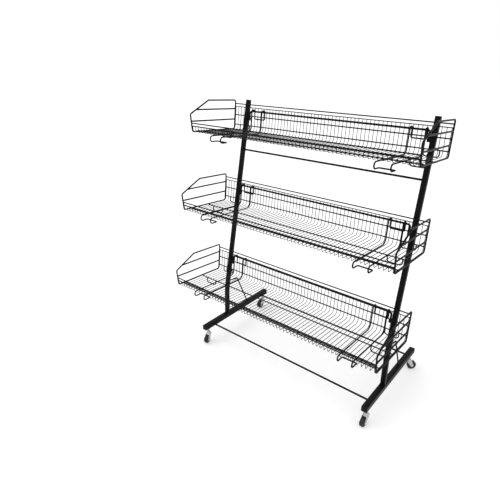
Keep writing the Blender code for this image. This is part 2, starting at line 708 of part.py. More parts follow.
def make_basket_frame():
    """End panels, long runners and small loops, welded into one piece."""
    panel_x = PANEL_SPACING * HALF_SHARE
    frame = rods("frame", [panel_outline(-panel_x), panel_outline(panel_x)], PANEL_WIRE_DIAMETER,
                 WIRE_STEPS, closed=True)
    join(frame, rods("bars", panel_bars(-panel_x) + panel_bars(panel_x), PANEL_BAR_DIAMETER, WIRE_STEPS))
    runners = [[at(-panel_x, forward, up), at(panel_x, forward, up)] for forward, up in runner_places()]
    join(frame, rods("runners", runners, RUNNER_DIAMETER, WIRE_STEPS))
    high = BACK_RUNNERS[-1]
    low = high - BACK_LOOP_DROP
    loops = []
    for x in (-BASE_X, BASE_X):
        loops.append(loop_run(x, back_reach(high, LOOP_OFFSET), high, back_reach(low, LOOP_OFFSET),
                              BACK_LOOP_DROP))
        loops.append(loop_run(x, FLOOR_RUNNER_REACH, -RUNNER_OFFSET, FLOOR_RUNNER_REACH, FLOOR_LOOP_DROP))
    join(frame, rods("loops", loops, LOOP_WIRE_DIAMETER, WIRE_STEPS))
    return frame


def make_wire_grid():
    """Thin wires of the back wall, floor and lip, all hung from the back's trim rod."""
    runs = []
    pitches = math.floor((PANEL_SPACING - PANEL_WIRE_DIAMETER) / THIN_WIRE_PITCH)
    for index in range(pitches + 1):
        x = (index - pitches * HALF_SHARE) * THIN_WIRE_PITCH
        lip_top = LIP_RUNNER_HEIGHT + THIN_WIRE_DIAMETER * HALF_SHARE
        runs.append([at(x, back_reach(TRIM_ROD_HEIGHT), TRIM_ROD_HEIGHT),
                     at(x, back_reach(FLOOR_BEND_RADIUS), FLOOR_BEND_RADIUS), at(x, FLOOR_BEND_RADIUS, 0),
                     at(x, lip_reach(0), 0), at(x, lip_reach(lip_top), lip_top)])
    length = PANEL_SPACING - PANEL_WIRE_DIAMETER - 2 * TOUCH_GAP
    grid = box("grid", (length, TRIM_ROD, TRIM_ROD),
               at(0, back_reach(TRIM_ROD_HEIGHT, TRIM_ROD_SETBACK), TRIM_ROD_HEIGHT))
    join(grid, rods("thin_wires", runs, THIN_WIRE_DIAMETER, THIN_WIRE_STEPS, tilt=RIGHT_ANGLE * HALF_SHARE))
    return grid


def hanger_side(x):
    """One leg of a hanger, from the tail of its front hook to the end of its rear hook."""
    under = -HANGER_OFFSET
    hook_centre = under - FRONT_HOOK_RADIUS
    tail = hook_centre - FRONT_HOOK_RADIUS
    run = [at(x, FRONT_HOOK_REACH - FRONT_HOOK_TAIL, tail)]
    for step in range(FRONT_HOOK_STEPS + 1):
        turn = -RIGHT_ANGLE + HALF_TURN * step / FRONT_HOOK_STEPS
        run.append(at(x, FRONT_HOOK_REACH + FRONT_HOOK_RADIUS * math.cos(turn),
                      hook_centre + FRONT_HOOK_RADIUS * math.sin(turn)))
    seat_top = RAIL_SEAT_HEIGHT + RAIL_DIAMETER * HALF_SHARE + TOUCH_GAP + HANGER_WIRE_DIAMETER * HALF_SHARE
    hook_start = at(x, back_reach(seat_top, HANGER_OFFSET), seat_top)
    corner = [run[-1], at(x, back_reach(0, HANGER_OFFSET), under), hook_start]
    run += rounded(corner, FLOOR_BEND_RADIUS + HANGER_OFFSET, BEND_STEPS)[1:-1]
    rear = rail_reach() - (RAIL_DIAMETER + HANGER_WIRE_DIAMETER) * HALF_SHARE - HOOK_SIDE_CLEARANCE
    hook = [run[-1], hook_start, at(x, rear, seat_top), at(x, rear, seat_top - HOOK_LENGTH)]
    run += rounded(hook, HANGER_CORNER_RADIUS, BEND_STEPS)[1:]
    return run


def make_hanger(sign):
    """Closed wire: two hooked legs, joined across at both ends."""
    inner = hanger_side(sign * HANGER_INNER_X)
    outer = hanger_side(sign * HANGER_OUTER_X)
    loop = inner + outer[::-1]
    ends = {0, len(inner) - 1, len(inner), len(loop) - 1}
    path = []
    for index, point in enumerate(loop):
        if index not in ends:
            path.append(point)
            continue
        near = [loop[index - 1], point, loop[(index + 1) % len(loop)]]
        path += rounded(near, HANGER_CORNER_RADIUS, BEND_STEPS)[1:-1]
    return rods("hanger", [path], HANGER_WIRE_DIAMETER, WIRE_STEPS, closed=True)


def make_baskets(seats):
    """Hangs a basket on each rail; its pieces share their meshes with the other tiers."""
    places = []
    for (tier, shift), seat in zip(BASKET_SHIFTS.items(), seats):
        hung = new_empty(f"basket_{tier}", seat, (shift, 0, 0), (UPRIGHT_LEAN - BASKET_TILT, 0, 0))
        places.append(new_empty(f"basket_corner_{tier}", hung, at(0, -rail_reach(), -RAIL_SEAT_HEIGHT)))
    pieces = ((make_basket_frame(), "basket_frame"), (make_wire_grid(), "basket_wires"),
              (make_hanger(-1), "hanger_left"), (make_hanger(1), "hanger_right"))
    for master, name in pieces:
        copies(master, [f"{name}_{tier}" for tier in BASKET_SHIFTS], BLACK, places)


def centre_on_ground(root):
    """Moves the stand until the middle of its footprint is at X = Y = 0."""
    bpy.context.view_layer.update()
    low, high = math.inf, -math.inf
    for thing in STAND.objects:
        if thing.type == "MESH":
            seen = thing.evaluated_get(bpy.context.evaluated_depsgraph_get())
            depths = [(seen.matrix_world @ vertex.co).y for vertex in seen.data.vertices]
            low, high = min(low, *depths), max(high, *depths)
    root.location.y = -(low + high) * HALF_SHARE
    bpy.context.view_layer.update()


stand = new_empty("stand", None)
base_seats = make_base(stand)
make_uprights(base_seats)
tier_seats = make_rails(stand)
make_bars(stand)
make_braces(base_seats)
make_casters(stand)
make_baskets(tier_seats)
centre_on_ground(stand)
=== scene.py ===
"""Dressed model of a three-tier wire snack stand on casters. Metres, +Z up, X along the
baskets, the shopper at -Y."""
import math

import bmesh
import bpy
from mathutils import Matrix, Vector


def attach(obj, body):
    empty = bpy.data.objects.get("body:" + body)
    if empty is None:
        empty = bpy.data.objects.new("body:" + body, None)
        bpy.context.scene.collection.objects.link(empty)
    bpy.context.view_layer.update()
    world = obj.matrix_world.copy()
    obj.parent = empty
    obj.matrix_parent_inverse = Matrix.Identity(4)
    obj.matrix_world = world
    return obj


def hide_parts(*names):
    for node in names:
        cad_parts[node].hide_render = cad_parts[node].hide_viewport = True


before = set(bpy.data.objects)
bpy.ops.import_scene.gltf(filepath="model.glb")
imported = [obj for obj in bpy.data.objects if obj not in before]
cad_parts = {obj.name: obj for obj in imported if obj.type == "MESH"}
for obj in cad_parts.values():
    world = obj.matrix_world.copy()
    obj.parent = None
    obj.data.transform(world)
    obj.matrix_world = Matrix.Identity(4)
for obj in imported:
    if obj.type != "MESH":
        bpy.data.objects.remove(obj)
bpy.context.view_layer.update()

# Camera.
# Stands in front of the stand's right end, above the top basket, and looks down across it.
# Its place, turn and lens were fitted to the corners and wires seen in the picture.
IMAGE_SIZE = 500
CAMERA_PLACE = (1.1441, -1.87977, 1.6647)
CAMERA_YAW = math.radians(39.79)
CAMERA_PITCH = math.radians(-21.75)
CAMERA_ROLL = math.radians(0.35)
FOCAL_PIXELS = 450.64
OPTICAL_CENTRE = (242.80, 232.49)
SENSOR_WIDTH = 36.0
VIEW_REACH = 100
HALF = 0.5
RIGHT_ANGLE = math.radians(90)

camera_data = bpy.data.cameras.new("camera")
camera_data.sensor_fit = "HORIZONTAL"
camera_data.sensor_width = SENSOR_WIDTH
camera_data.lens = FOCAL_PIXELS / IMAGE_SIZE * SENSOR_WIDTH
camera_data.shift_x = (IMAGE_SIZE * HALF - OPTICAL_CENTRE[0]) / IMAGE_SIZE
camera_data.shift_y = (OPTICAL_CENTRE[1] - IMAGE_SIZE * HALF) / IMAGE_SIZE
camera_data.clip_end = VIEW_REACH
camera = bpy.data.objects.new("camera", camera_data)
bpy.context.scene.collection.objects.link(camera)
camera.matrix_world = (
    Matrix.Translation(CAMERA_PLACE)
    @ Matrix.Rotation(CAMERA_YAW, 4, "Z")
    @ Matrix.Rotation(RIGHT_ANGLE + CAMERA_PITCH, 4, "X")
    @ Matrix.Rotation(CAMERA_ROLL, 4, "Z")
)
bpy.context.scene.camera = camera

# Base tubes.
# Two level 30 mm square steel tubes with rolled corners, one under each post, powder
# coated near black with a faint orange peel. The casters screw up into them.
SIDES = {"left": -1, "right": 1}
FOOT_Y = -0.027834
BASE_X = 0.5227
BASE_SIZE = 0.030
BASE_TOP = 0.124
BASE_CORNER = 0.003
TUBE_WALL = 0.0015
BASE_FRONT = FOOT_Y - 0.2043
BASE_REAR = FOOT_Y + 0.3946
SHARP_ANGLE = math.radians(38)
CORNER_STEPS = 5
GRAIN_DETAIL = 3
CLOUD_DETAIL = 4
CLOUD_RANGE = (0.3, 0.7)
GRAIN_RANGE = (0.25, 0.75)
CLOUD_SCALE = 9


def linked(tree, source, socket, target, entry):
    tree.links.new(source.outputs[socket], target.inputs[entry])


def surface_group():
    """Two sizes of grain, put out as a colour, a roughness and a height."""
    tree = bpy.data.node_groups.new("surface_grain", "ShaderNodeTree")
    for name, kind, value in (
        ("Dark", "NodeSocketColor", (0, 0, 0, 1)), ("Light", "NodeSocketColor", (1, 1, 1, 1)),
        ("Smooth", "NodeSocketFloat", 0.3), ("Rough", "NodeSocketFloat", 0.5),
        ("Grain Scale", "NodeSocketFloat", 400), ("Cloud Scale", "NodeSocketFloat", CLOUD_SCALE),
        ("Stretch", "NodeSocketVector", (1, 1, 1)),
    ):
        socket = tree.interface.new_socket(name=name, in_out="INPUT", socket_type=kind)
        socket.default_value = value
    for name, kind in (("Color", "NodeSocketColor"), ("Roughness", "NodeSocketFloat"),
                       ("Height", "NodeSocketFloat")):
        tree.interface.new_socket(name=name, in_out="OUTPUT", socket_type=kind)
    given = tree.nodes.new("NodeGroupInput")
    result = tree.nodes.new("NodeGroupOutput")
    place = tree.nodes.new("ShaderNodeTexCoord")
    stretch = tree.nodes.new("ShaderNodeVectorMath")
    stretch.operation = "MULTIPLY"
    linked(tree, place, "Object", stretch, 0)
    linked(tree, given, "Stretch", stretch, 1)
    grain = tree.nodes.new("ShaderNodeTexNoise")
    grain.inputs["Detail"].default_value = GRAIN_DETAIL
    linked(tree, stretch, 0, grain, "Vector")
    linked(tree, given, "Grain Scale", grain, "Scale")
    cloud = tree.nodes.new("ShaderNodeTexNoise")
    cloud.inputs["Detail"].default_value = CLOUD_DETAIL
    linked(tree, place, "Object", cloud, "Vector")
    linked(tree, given, "Cloud Scale", cloud, "Scale")
    spread = tree.nodes.new("ShaderNodeMapRange")
    spread.inputs["From Min"].default_value, spread.inputs["From Max"].default_value = CLOUD_RANGE
    linked(tree, cloud, "Fac", spread, "Value")
    color = tree.nodes.new("ShaderNodeMix")
    color.data_type = "RGBA"
    linked(tree, spread, "Result", color, 0)
    linked(tree, given, "Dark", color, 6)
    linked(tree, given, "Light", color, 7)
    rough = tree.nodes.new("ShaderNodeMapRange")
    linked(tree, grain, "Fac", rough, "Value")
    rough.inputs["From Min"].default_value, rough.inputs["From Max"].default_value = GRAIN_RANGE
    linked(tree, given, "Smooth", rough, "To Min")
    linked(tree, given, "Rough", rough, "To Max")
    linked(tree, color, 2, result, "Color")
    linked(tree, rough, "Result", result, "Roughness")
    linked(tree, grain, "Fac", result, "Height")
    return tree


SURFACE = surface_group()


def finish_material(name, dark, light, smooth, rough, grain_scale, relief, metallic=0.0, specular=0.5,
                    cloud_scale=CLOUD_SCALE, stretch=(1, 1, 1)):
    """Material whose colour, roughness and relief come from the surface grain."""
    material = bpy.data.materials.new(name)
    material.use_nodes = True
    tree = material.node_tree
    shader = tree.nodes["Principled BSDF"]
    shader.inputs["Metallic"].default_value = metallic
    shader.inputs["Specular IOR Level"].default_value = specular
    grain = tree.nodes.new("ShaderNodeGroup")
    grain.node_tree = SURFACE
    values = {"Dark": (*dark, 1), "Light": (*light, 1), "Smooth": smooth, "Rough": rough,
              "Grain Scale": grain_scale, "Cloud Scale": cloud_scale, "Stretch": stretch}
    for socket, value in values.items():
        grain.inputs[socket].default_value = value
    bump = tree.nodes.new("ShaderNodeBump")
    bump.inputs["Strength"].default_value = 1.0
    bump.inputs["Distance"].default_value = relief
    linked(tree, grain, "Color", shader, "Base Color")
    linked(tree, grain, "Roughness", shader, "Roughness")
    linked(tree, grain, "Height", bump, "Height")
    linked(tree, bump, "Normal", shader, "Normal")
    return material


COAT = finish_material("powder_coat", dark=(0.0026, 0.0026, 0.0028), light=(0.0045, 0.0045, 0.0048),
                       smooth=0.34, rough=0.46, grain_scale=420, relief=0.00004, specular=0.08)


def placed(name, data):
    piece = bpy.data.objects.new(name, data)
    bpy.context.scene.collection.objects.link(piece)
    return piece


def skin(work, rings, loop):
    """Quads over a row of rings, joined end to end or closed by end faces."""
    rows = [[work.verts.new(point) for point in ring] for ring in rings]
    pairs = list(zip(rows, rows[1:]))
    if loop:
        pairs.append((rows[-1], rows[0]))
    else:
        work.faces.new(rows[0])
        work.faces.new(rows[-1])
    for low, high in pairs:
        for index, corner in enumerate(low):
            after = (index + 1) % len(low)
            work.faces.new((corner, low[after], high[after], high[index]))


def lofted(name, bodies, material, loop=False):
    """One mesh of skins, each over its own row of rings."""
    mesh = bpy.data.meshes.new(name)
    work = bmesh.new()
    for rings in bodies:
        skin(work, rings, loop)
    bmesh.ops.recalc_face_normals(work, faces=work.faces)
    work.to_mesh(mesh)
    work.free()
    mesh.materials.append(material)
    mesh.shade_smooth()
    mesh.set_sharp_from_angle(angle=SHARP_ANGLE)
    return mesh


def rounded_rectangle(width, height, radius, steps=CORNER_STEPS):
    """Points round a rectangle with arcs for corners, centred on zero."""
    points = []
    for quarter, (across, up) in enumerate(((1, 1), (-1, 1), (-1, -1), (1, -1))):
        for step in range(steps + 1):
            turn = RIGHT_ANGLE * (quarter + step / steps)
            points.append((across * (width * HALF - radius) + radius * math.cos(turn),
                           up * (height * HALF - radius) + radius * math.sin(turn)))
    return points


def fitted(piece, body, slot, *nodes):
    """Puts a finished piece on its body and in place of its plain nodes. Its slot is not used."""
    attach(piece, body)
    if nodes:
        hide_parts(*nodes)
    return piece


base_outer = rounded_rectangle(BASE_SIZE, BASE_SIZE, BASE_CORNER)
base_bore = BASE_SIZE - 2 * TUBE_WALL
base_inner = rounded_rectangle(base_bore, base_bore, BASE_CORNER - TUBE_WALL)
base_axis = BASE_TOP - BASE_SIZE * HALF
base_rings = []
for outline, ends in ((base_outer, (BASE_FRONT, BASE_REAR)), (base_inner, (BASE_REAR, BASE_FRONT))):
    for y in ends:
        base_rings.append([Vector((x, y, base_axis + z)) for x, z in outline])
base_mesh = lofted("base_tube_skin", [base_rings], COAT, loop=True)
for side, sign in SIDES.items():
    tube = placed(f"square_base_tube_{side}", base_mesh)
    tube.location.x = sign * BASE_X
    fitted(tube, "stand", "powder_coat", f"base_tube_{side}")

# End plugs of the base tubes and posts.
# Moulded black plastic, pushed into the open tube ends. Each shows a thin flat plate with
# softly rounded edges; ribs on its stem grip inside the tube.
BASE_PLUG_THICKNESS = 0.004
PLUG_EDGE = 0.0016
PLUG_STEM = 0.014
PLUG_RIB = 0.0006
PLUG_SEAT = 0.0002
PLUG_RIB_STEPS = 9
PLUG_EDGE_STEPS = 4
PLUG_LEAST_CORNER = 0.0008

PLUG = finish_material("plug_plastic", dark=(0.004, 0.004, 0.0042), light=(0.008, 0.008, 0.0083),
                       smooth=0.42, rough=0.58, grain_scale=900, relief=0.00003, specular=0.12)


def plug_rings(width, height, corner, thickness):
    """Rings of a plug along +Z, from the end of its ribbed stem to its outer face."""
    rows = []
    inner_width = width - 2 * TUBE_WALL - PLUG_RIB
    inner_height = height - 2 * TUBE_WALL - PLUG_RIB
    for step in range(PLUG_RIB_STEPS):
        narrow = PLUG_RIB * (2 if step % 2 else 1)
        z = -PLUG_STEM + step * PLUG_STEM / PLUG_RIB_STEPS
        rows.append((inner_width - narrow, inner_height - narrow, z))
    rows.append((inner_width - PLUG_RIB, inner_height - PLUG_RIB, PLUG_SEAT))
    rows.append((width, height, PLUG_SEAT))
    for step in range(PLUG_EDGE_STEPS + 1):
        turn = RIGHT_ANGLE * step / PLUG_EDGE_STEPS
        shrink = 2 * PLUG_EDGE * (1 - math.cos(turn))
        rows.append((width - shrink, height - shrink, thickness - PLUG_EDGE + PLUG_EDGE * math.sin(turn)))
    rings = []
    for across, along, z in rows:
        outline = rounded_rectangle(across, along, max(corner - (width - across) * HALF, PLUG_LEAST_CORNER))
        rings.append([Vector((x, y, z)) for x, y in outline])
    return rings


base_plug_rings = plug_rings(BASE_SIZE, BASE_SIZE, BASE_CORNER, BASE_PLUG_THICKNESS)
base_plug_mesh = lofted("base_plug_skin", [base_plug_rings], PLUG)
for side, sign in SIDES.items():
    for end, y, lay in (("front", BASE_FRONT, RIGHT_ANGLE), ("rear", BASE_REAR, -RIGHT_ANGLE)):
        plug = placed(f"base_plug_{end}_{side}", base_plug_mesh)
        plug.matrix_world = (Matrix.Translation((sign * BASE_X, y, base_axis))
                             @ Matrix.Rotation(lay, 4, "X"))
        fitted(plug, "stand", "plug", f"base_cap_{end}_{side}")

# Posts.
# Two rectangular steel tubes, 25 by 20 mm, welded upright on the base tubes, then bent
# once near the foot so that they lean back. Their open tops take plastic plugs.
POST_WIDTH = 0.025
POST_DEPTH = 0.020
POST_CORNER = 0.0025
POST_TOP = 1.4155
POST_LEAN = math.radians(9.88)
LEAN_START = 0.2986
BEND_RADIUS = 0.44
BEND_STEPS = 16
POST_PLUG_THICKNESS = 0.003


def post_y(height):
    return FOOT_Y + (height - LEAN_START) * math.tan(POST_LEAN)


def post_stations():
    """(y, z, lean) at each ring along a post, from its foot up through the bend to its top."""
    stations = [(FOOT_Y, BASE_TOP - TUBE_WALL * HALF, 0)]
    start = LEAN_START - BEND_RADIUS * math.tan(POST_LEAN * HALF)
    for step in range(BEND_STEPS + 1):
        turn = POST_LEAN * step / BEND_STEPS
        y = FOOT_Y + BEND_RADIUS * (1 - math.cos(turn))
        stations.append((y, start + BEND_RADIUS * math.sin(turn), turn))
    stations.append((post_y(POST_TOP), POST_TOP, POST_LEAN))
    return stations


def post_ring(outline, y, z, turn):
    lay = Matrix.Translation((0, y, z)) @ Matrix.Rotation(-turn, 4, "X")
    return [lay @ Vector((a, b, 0)) for a, b in outline]


post_outer = rounded_rectangle(POST_WIDTH, POST_DEPTH, POST_CORNER)
post_inner = rounded_rectangle(POST_WIDTH - 2 * TUBE_WALL, POST_DEPTH - 2 * TUBE_WALL,
                               POST_CORNER - TUBE_WALL)
post_rings = [post_ring(post_outer, *station) for station in post_stations()]
post_rings += [post_ring(post_inner, *station) for station in reversed(post_stations())]
post_mesh = lofted("post_skin", [post_rings], COAT, loop=True)
post_plug_rings = plug_rings(POST_WIDTH, POST_DEPTH, POST_CORNER, POST_PLUG_THICKNESS)
post_plug_mesh = lofted("post_plug_skin", [post_plug_rings], PLUG)
for side, sign in SIDES.items():
    post = placed(f"bent_post_{side}", post_mesh)
    post.location.x = sign * BASE_X
    fitted(post, "stand", "powder_coat", f"upright_{side}")
    plug = placed(f"post_plug_{side}", post_plug_mesh)
    plug.matrix_world = (Matrix.Translation((sign * BASE_X, post_y(POST_TOP), POST_TOP))
                         @ Matrix.Rotation(-POST_LEAN, 4, "X"))
    fitted(plug, "stand", "plug", f"top_cap_{side}")

# Hanging rails.
# Three 10 mm steel rods across the posts, each bent down at both ends. The bent legs drop
# into short sockets on the posts, so a rail lifts out.
RAIL_HEIGHTS = {"bottom": 0.514, "middle": 0.942, "top": 1.358}
RAIL_DIAMETER = 0.010
RAIL_BEND = 0.014
RAIL_LEG = 0.048
SOCKET_DIAMETER = 0.0156
SOCKET_LENGTH = 0.018
SOCKET_FLOOR = 0.003
SOCKET_EDGE = 0.0006
SEAT_GAP = 0.0003
TURNED_STEPS = 40
SEAM = 0.00001
WIRE_BEND_STEPS = 8
ROD_BEND_STEPS = 12
WIRE_FINENESS = 4
ROD_FINENESS = 8


def rounded(points, radius, steps=WIRE_BEND_STEPS, closed=False):
    """Replaces the corners of a run by arcs of one centre-line radius."""
    points = [Vector(point) for point in points]
    result = []
    for index, corner in enumerate(points):
        if not closed and index in (0, len(points) - 1):
            result.append(corner)
            continue
        back = (points[index - 1] - corner).normalized()
        ahead = (points[(index + 1) % len(points)] - corner).normalized()
        bend = math.pi - back.angle(ahead)
        reach = radius * math.tan(bend * HALF)
        centre = corner + (back + ahead).normalized() * (radius / math.cos(bend * HALF))
        start = corner + back * reach - centre
        axis = start.cross(corner + ahead * reach - centre).normalized()
        for step in range(steps + 1):
            result.append(centre + Matrix.Rotation(bend * step / steps, 3, axis) @ start)
    return result


def wires(name, runs, diameter, material, closed=False, fineness=WIRE_FINENESS):
    """Mesh of round rods, each swept along its own run of points."""
    curve = bpy.data.curves.new(name, "CURVE")
    curve.dimensions = "3D"
    curve.bevel_depth = diameter * HALF
    curve.bevel_resolution = fineness
    curve.use_fill_caps = not closed
    for run in runs:
        spline = curve.splines.new("POLY")
        spline.points.add(len(run) - 1)
        spline.use_cyclic_u = closed
        spline.use_smooth = True
        for knot, point in zip(spline.points, run):
            knot.co = (*point, 1)
    sweep = placed(name, curve)
    mesh = bpy.data.meshes.new_from_object(sweep.evaluated_get(bpy.context.evaluated_depsgraph_get()))
    bpy.data.objects.remove(sweep)
    mesh.name = name
    work = bmesh.new()
    work.from_mesh(mesh)
    bmesh.ops.remove_doubles(work, verts=work.verts, dist=SEAM)
    bmesh.ops.recalc_face_normals(work, faces=work.faces)
    work.to_mesh(mesh)
    work.free()
    mesh.materials.clear()
    mesh.materials.append(material)
    mesh.shade_smooth()
    mesh.set_sharp_from_angle(angle=SHARP_ANGLE)
    return mesh


def turned(profile, place=Matrix.Identity(4), steps=TURNED_STEPS):
    """Rings of (radius, height) points round Z, moved to a place."""
    turns = [math.tau * step / steps for step in range(steps)]
    return [[place @ Vector((radius * math.cos(turn), radius * math.sin(turn), z)) for turn in turns]
            for radius, z in profile]


inner_face = BASE_X - POST_WIDTH * HALF
leg_x = inner_face - SEAT_GAP - SOCKET_DIAMETER * HALF
rail_run = [(-leg_x, 0, -RAIL_LEG), (-leg_x, 0, 0), (leg_x, 0, 0), (leg_x, 0, -RAIL_LEG)]
rail_run = rounded(rail_run, RAIL_BEND, ROD_BEND_STEPS)
rail_mesh = wires("rail_rod", [rail_run], RAIL_DIAMETER, COAT, fineness=ROD_FINENESS)
socket_low = -RAIL_LEG - SEAT_GAP - SOCKET_FLOOR
socket_top = socket_low + SOCKET_LENGTH
socket_radius = SOCKET_DIAMETER * HALF
socket_bore = RAIL_DIAMETER * HALF + SEAT_GAP
socket_mesh = lofted("socket_skin", [turned((
    (socket_radius - SOCKET_EDGE, socket_low), (socket_radius, socket_low + SOCKET_EDGE),
    (socket_radius, socket_top - SOCKET_EDGE), (socket_radius - SOCKET_EDGE, socket_top),
    (socket_bore + SOCKET_EDGE, socket_top), (socket_bore, socket_top - SOCKET_EDGE),
    (socket_bore, socket_low + SOCKET_FLOOR)))], COAT)
for tier, height in RAIL_HEIGHTS.items():
    seat = Matrix.Translation((0, post_y(height), height)) @ Matrix.Rotation(-POST_LEAN, 4, "X")
    rail = placed(f"bent_rail_{tier}", rail_mesh)
    rail.matrix_world = seat
    fitted(rail, "stand", "powder_coat", f"hanging_rail_{tier}")
    for side, sign in SIDES.items():
        socket = placed(f"rail_holder_{tier}_{side}", socket_mesh)
        socket.matrix_world = seat @ Matrix.Translation((sign * leg_x, 0, 0))
        fitted(socket, "stand", "powder_coat", f"rail_socket_{tier}_{side}")

# Plain cross bars.
# One 10 mm rod between the posts under the top basket and two between the base tubes,
# butt welded to the inner faces of the tubes.
CROSSBAR_HEIGHT = 1.146
BAR_DIAMETER = 0.010
LOW_BAR_HEIGHT = 0.104
LOW_BAR_REACHES = {"front": -0.130, "rear": 0.339}
WELD_SINK = 0.0002

post_gap = inner_face + WELD_SINK
crossbar_mesh = wires("crossbar_rod", [[(-post_gap, 0, 0), (post_gap, 0, 0)]], BAR_DIAMETER, COAT,
                      fineness=ROD_FINENESS)
crossbar = placed("post_crossbar", crossbar_mesh)
crossbar.location = (0, post_y(CROSSBAR_HEIGHT), CROSSBAR_HEIGHT)
fitted(crossbar, "stand", "powder_coat", "upper_crossbar")
base_gap = BASE_X - BASE_SIZE * HALF + WELD_SINK
low_bar_mesh = wires("low_bar_rod", [[(-base_gap, 0, 0), (base_gap, 0, 0)]], BAR_DIAMETER, COAT,
                     fineness=ROD_FINENESS)
for end, reach in LOW_BAR_REACHES.items():
    bar = placed(f"base_crossbar_{end}", low_bar_mesh)
    bar.location = (0, FOOT_Y + reach, LOW_BAR_HEIGHT)
    fitted(bar, "stand", "powder_coat", f"lower_bar_{end}")

# Braces.
# An 8 mm rod behind each post, bent over and welded between the post's back and the top
# of the base tube. It keeps the leaning post from folding backwards.
BRACE_DIAMETER = 0.008
BRACE_TOP = 0.343
BRACE_APEX = (0.096, 0.330)
BRACE_FOOT = 0.196
BRACE_BEND = 0.014

brace_start = Vector((0, post_y(BRACE_TOP) + POST_DEPTH * HALF, BRACE_TOP))
brace_apex = Vector((0, FOOT_Y + BRACE_APEX[0], BRACE_APEX[1]))
brace_end = Vector((0, FOOT_Y + BRACE_FOOT, BASE_TOP))
brace_run = rounded([brace_start, brace_apex, brace_end], BRACE_BEND, ROD_BEND_STEPS)
brace_mesh = wires("brace_rod", [brace_run], BRACE_DIAMETER, COAT, fineness=ROD_FINENESS)
for side, sign in SIDES.items():
    brace = placed(f"bent_brace_{side}", brace_mesh)
    brace.location.x = sign * BASE_X
    fitted(brace, "stand", "powder_coat", f"brace_{side}")

# Weld beads.
# Hand-run fillet welds where the tubes and rods of the stand meet, coated with the rest.
# Each is a row of small overlapping ripples.
BEAD_RADIUS = 0.0016
BEAD_STEP = 0.0006
RIPPLE_LENGTH = 0.0022
RIPPLE_SHARE = 0.16
BEAD_SIDES = 8
BEAD_TAPER = 0.3
BEAD_TAPER_STEPS = 4
CIRCLE_STEPS = 24
SOCKET_WELD_SHARE = 0.32
SOCKET_WELD_INSET = 0.001


def circle(centre, radius, across, up, count=CIRCLE_STEPS):
    turns = [math.tau * step / count for step in range(count)]
    return [centre + radius * (math.cos(turn) * across + math.sin(turn) * up) for turn in turns]


def bead(points, normal, closed=True):
    """Rings of a rippled bead that follows a run of points lying square to a normal."""
    points = [Vector(point) for point in points]
    if closed:
        points.append(points[0])
    fine = []
    for start, end in zip(points, points[1:]):
        count = max(1, round((end - start).length / BEAD_STEP))
        fine += [start.lerp(end, step / count) for step in range(count)]
    if not closed:
        fine.append(points[-1])
    rings = []
    last = len(fine) - 1
    for index, point in enumerate(fine):
        ahead = fine[(index + 1) % len(fine)] if closed or index < last else point
        behind = fine[index - 1] if closed or index > 0 else point
        along = (ahead - behind).normalized()
        across = along.cross(normal).normalized()
        ripple = 1 + RIPPLE_SHARE * abs(math.sin(math.pi * index * BEAD_STEP / RIPPLE_LENGTH))
        taper = 1 if closed else min(1, BEAD_TAPER + min(index, last - index) / BEAD_TAPER_STEPS)
        rings.append(circle(point, BEAD_RADIUS * ripple * taper, across, normal, BEAD_SIDES))
    return rings


east, north, above = Vector((1, 0, 0)), Vector((0, 1, 0)), Vector((0, 0, 1))
leaning_up = Vector((0, math.sin(POST_LEAN), math.cos(POST_LEAN)))
leaning_back = Vector((0, math.cos(POST_LEAN), -math.sin(POST_LEAN)))
closed_beads, open_beads = [], []
for sign in SIDES.values():
    x = sign * BASE_X
    aside = Vector((x, 0, 0))
    closed_beads.append(bead([Vector((x + a, FOOT_Y + b, BASE_TOP)) for a, b in post_outer], above))
    closed_beads.append(bead(circle(aside + brace_end, BRACE_DIAMETER * HALF, east, north), above))
    brace_join = circle(aside + brace_start, BRACE_DIAMETER * HALF, east, leaning_up)
    closed_beads.append(bead(brace_join, leaning_back))
    centre = Vector((sign * inner_face, post_y(CROSSBAR_HEIGHT), CROSSBAR_HEIGHT))
    closed_beads.append(bead(circle(centre, BAR_DIAMETER * HALF, north, above), east))
    for reach in LOW_BAR_REACHES.values():
        centre = Vector((sign * (BASE_X - BASE_SIZE * HALF), FOOT_Y + reach, LOW_BAR_HEIGHT))
        closed_beads.append(bead(circle(centre, BAR_DIAMETER * HALF, north, above), east))
    for height in RAIL_HEIGHTS.values():
        middle = Vector((sign * inner_face, post_y(height), height))
        for edge in (-1, 1):
            offset = leaning_back * (edge * SOCKET_DIAMETER * SOCKET_WELD_SHARE)
            heights = (socket_low + SOCKET_WELD_INSET, socket_top - SOCKET_WELD_INSET)
            ends = [middle + offset + leaning_up * z for z in heights]
            open_beads.append(bead(ends, east, closed=False))
weld_loops = placed("weld_fillets", lofted("weld_fillet_skin", closed_beads, COAT, loop=True))
fitted(weld_loops, "stand", "powder_coat")
weld_lines = placed("socket_welds", lofted("socket_weld_skin", open_beads, COAT))
fitted(weld_lines, "stand", "powder_coat")

# Caster stems and nuts.
# Zinc-plated M10 threaded stems, screwed into a nut inside the base tube and locked by a
# chamfered hexagon nut under it.
WHEEL_DIAMETER = 0.050
STEM_PLACES = {"front": FOOT_Y - 0.174, "rear": FOOT_Y + 0.367}
CASTER_TURNS = {"front_left": 193, "front_right": 176, "rear_left": 171, "rear_right": -45}
PLATE_TOP = 0.0600
SHEET = 0.0025
RACE_HEIGHT = 0.0075
STEM_DIAMETER = 0.010
THREAD_PITCH = 0.0015
THREAD_DEPTH = 0.0007
THREAD_ROWS = 6
COLLAR_RADIUS = 0.0085
COLLAR_HEIGHT = 0.0045
RIVET_RADIUS = 0.0075
RIVET_HEIGHT = 0.002
STEM_ABOVE_WALL = 0.013
NUT_CORNERS = 0.0185
LOCK_NUT_HEIGHT = 0.006
NUT_CHAMFER = 0.0011
NUT_STEPS = 72
NUT_SIDE = math.radians(60)
BEVEL = 0.0005

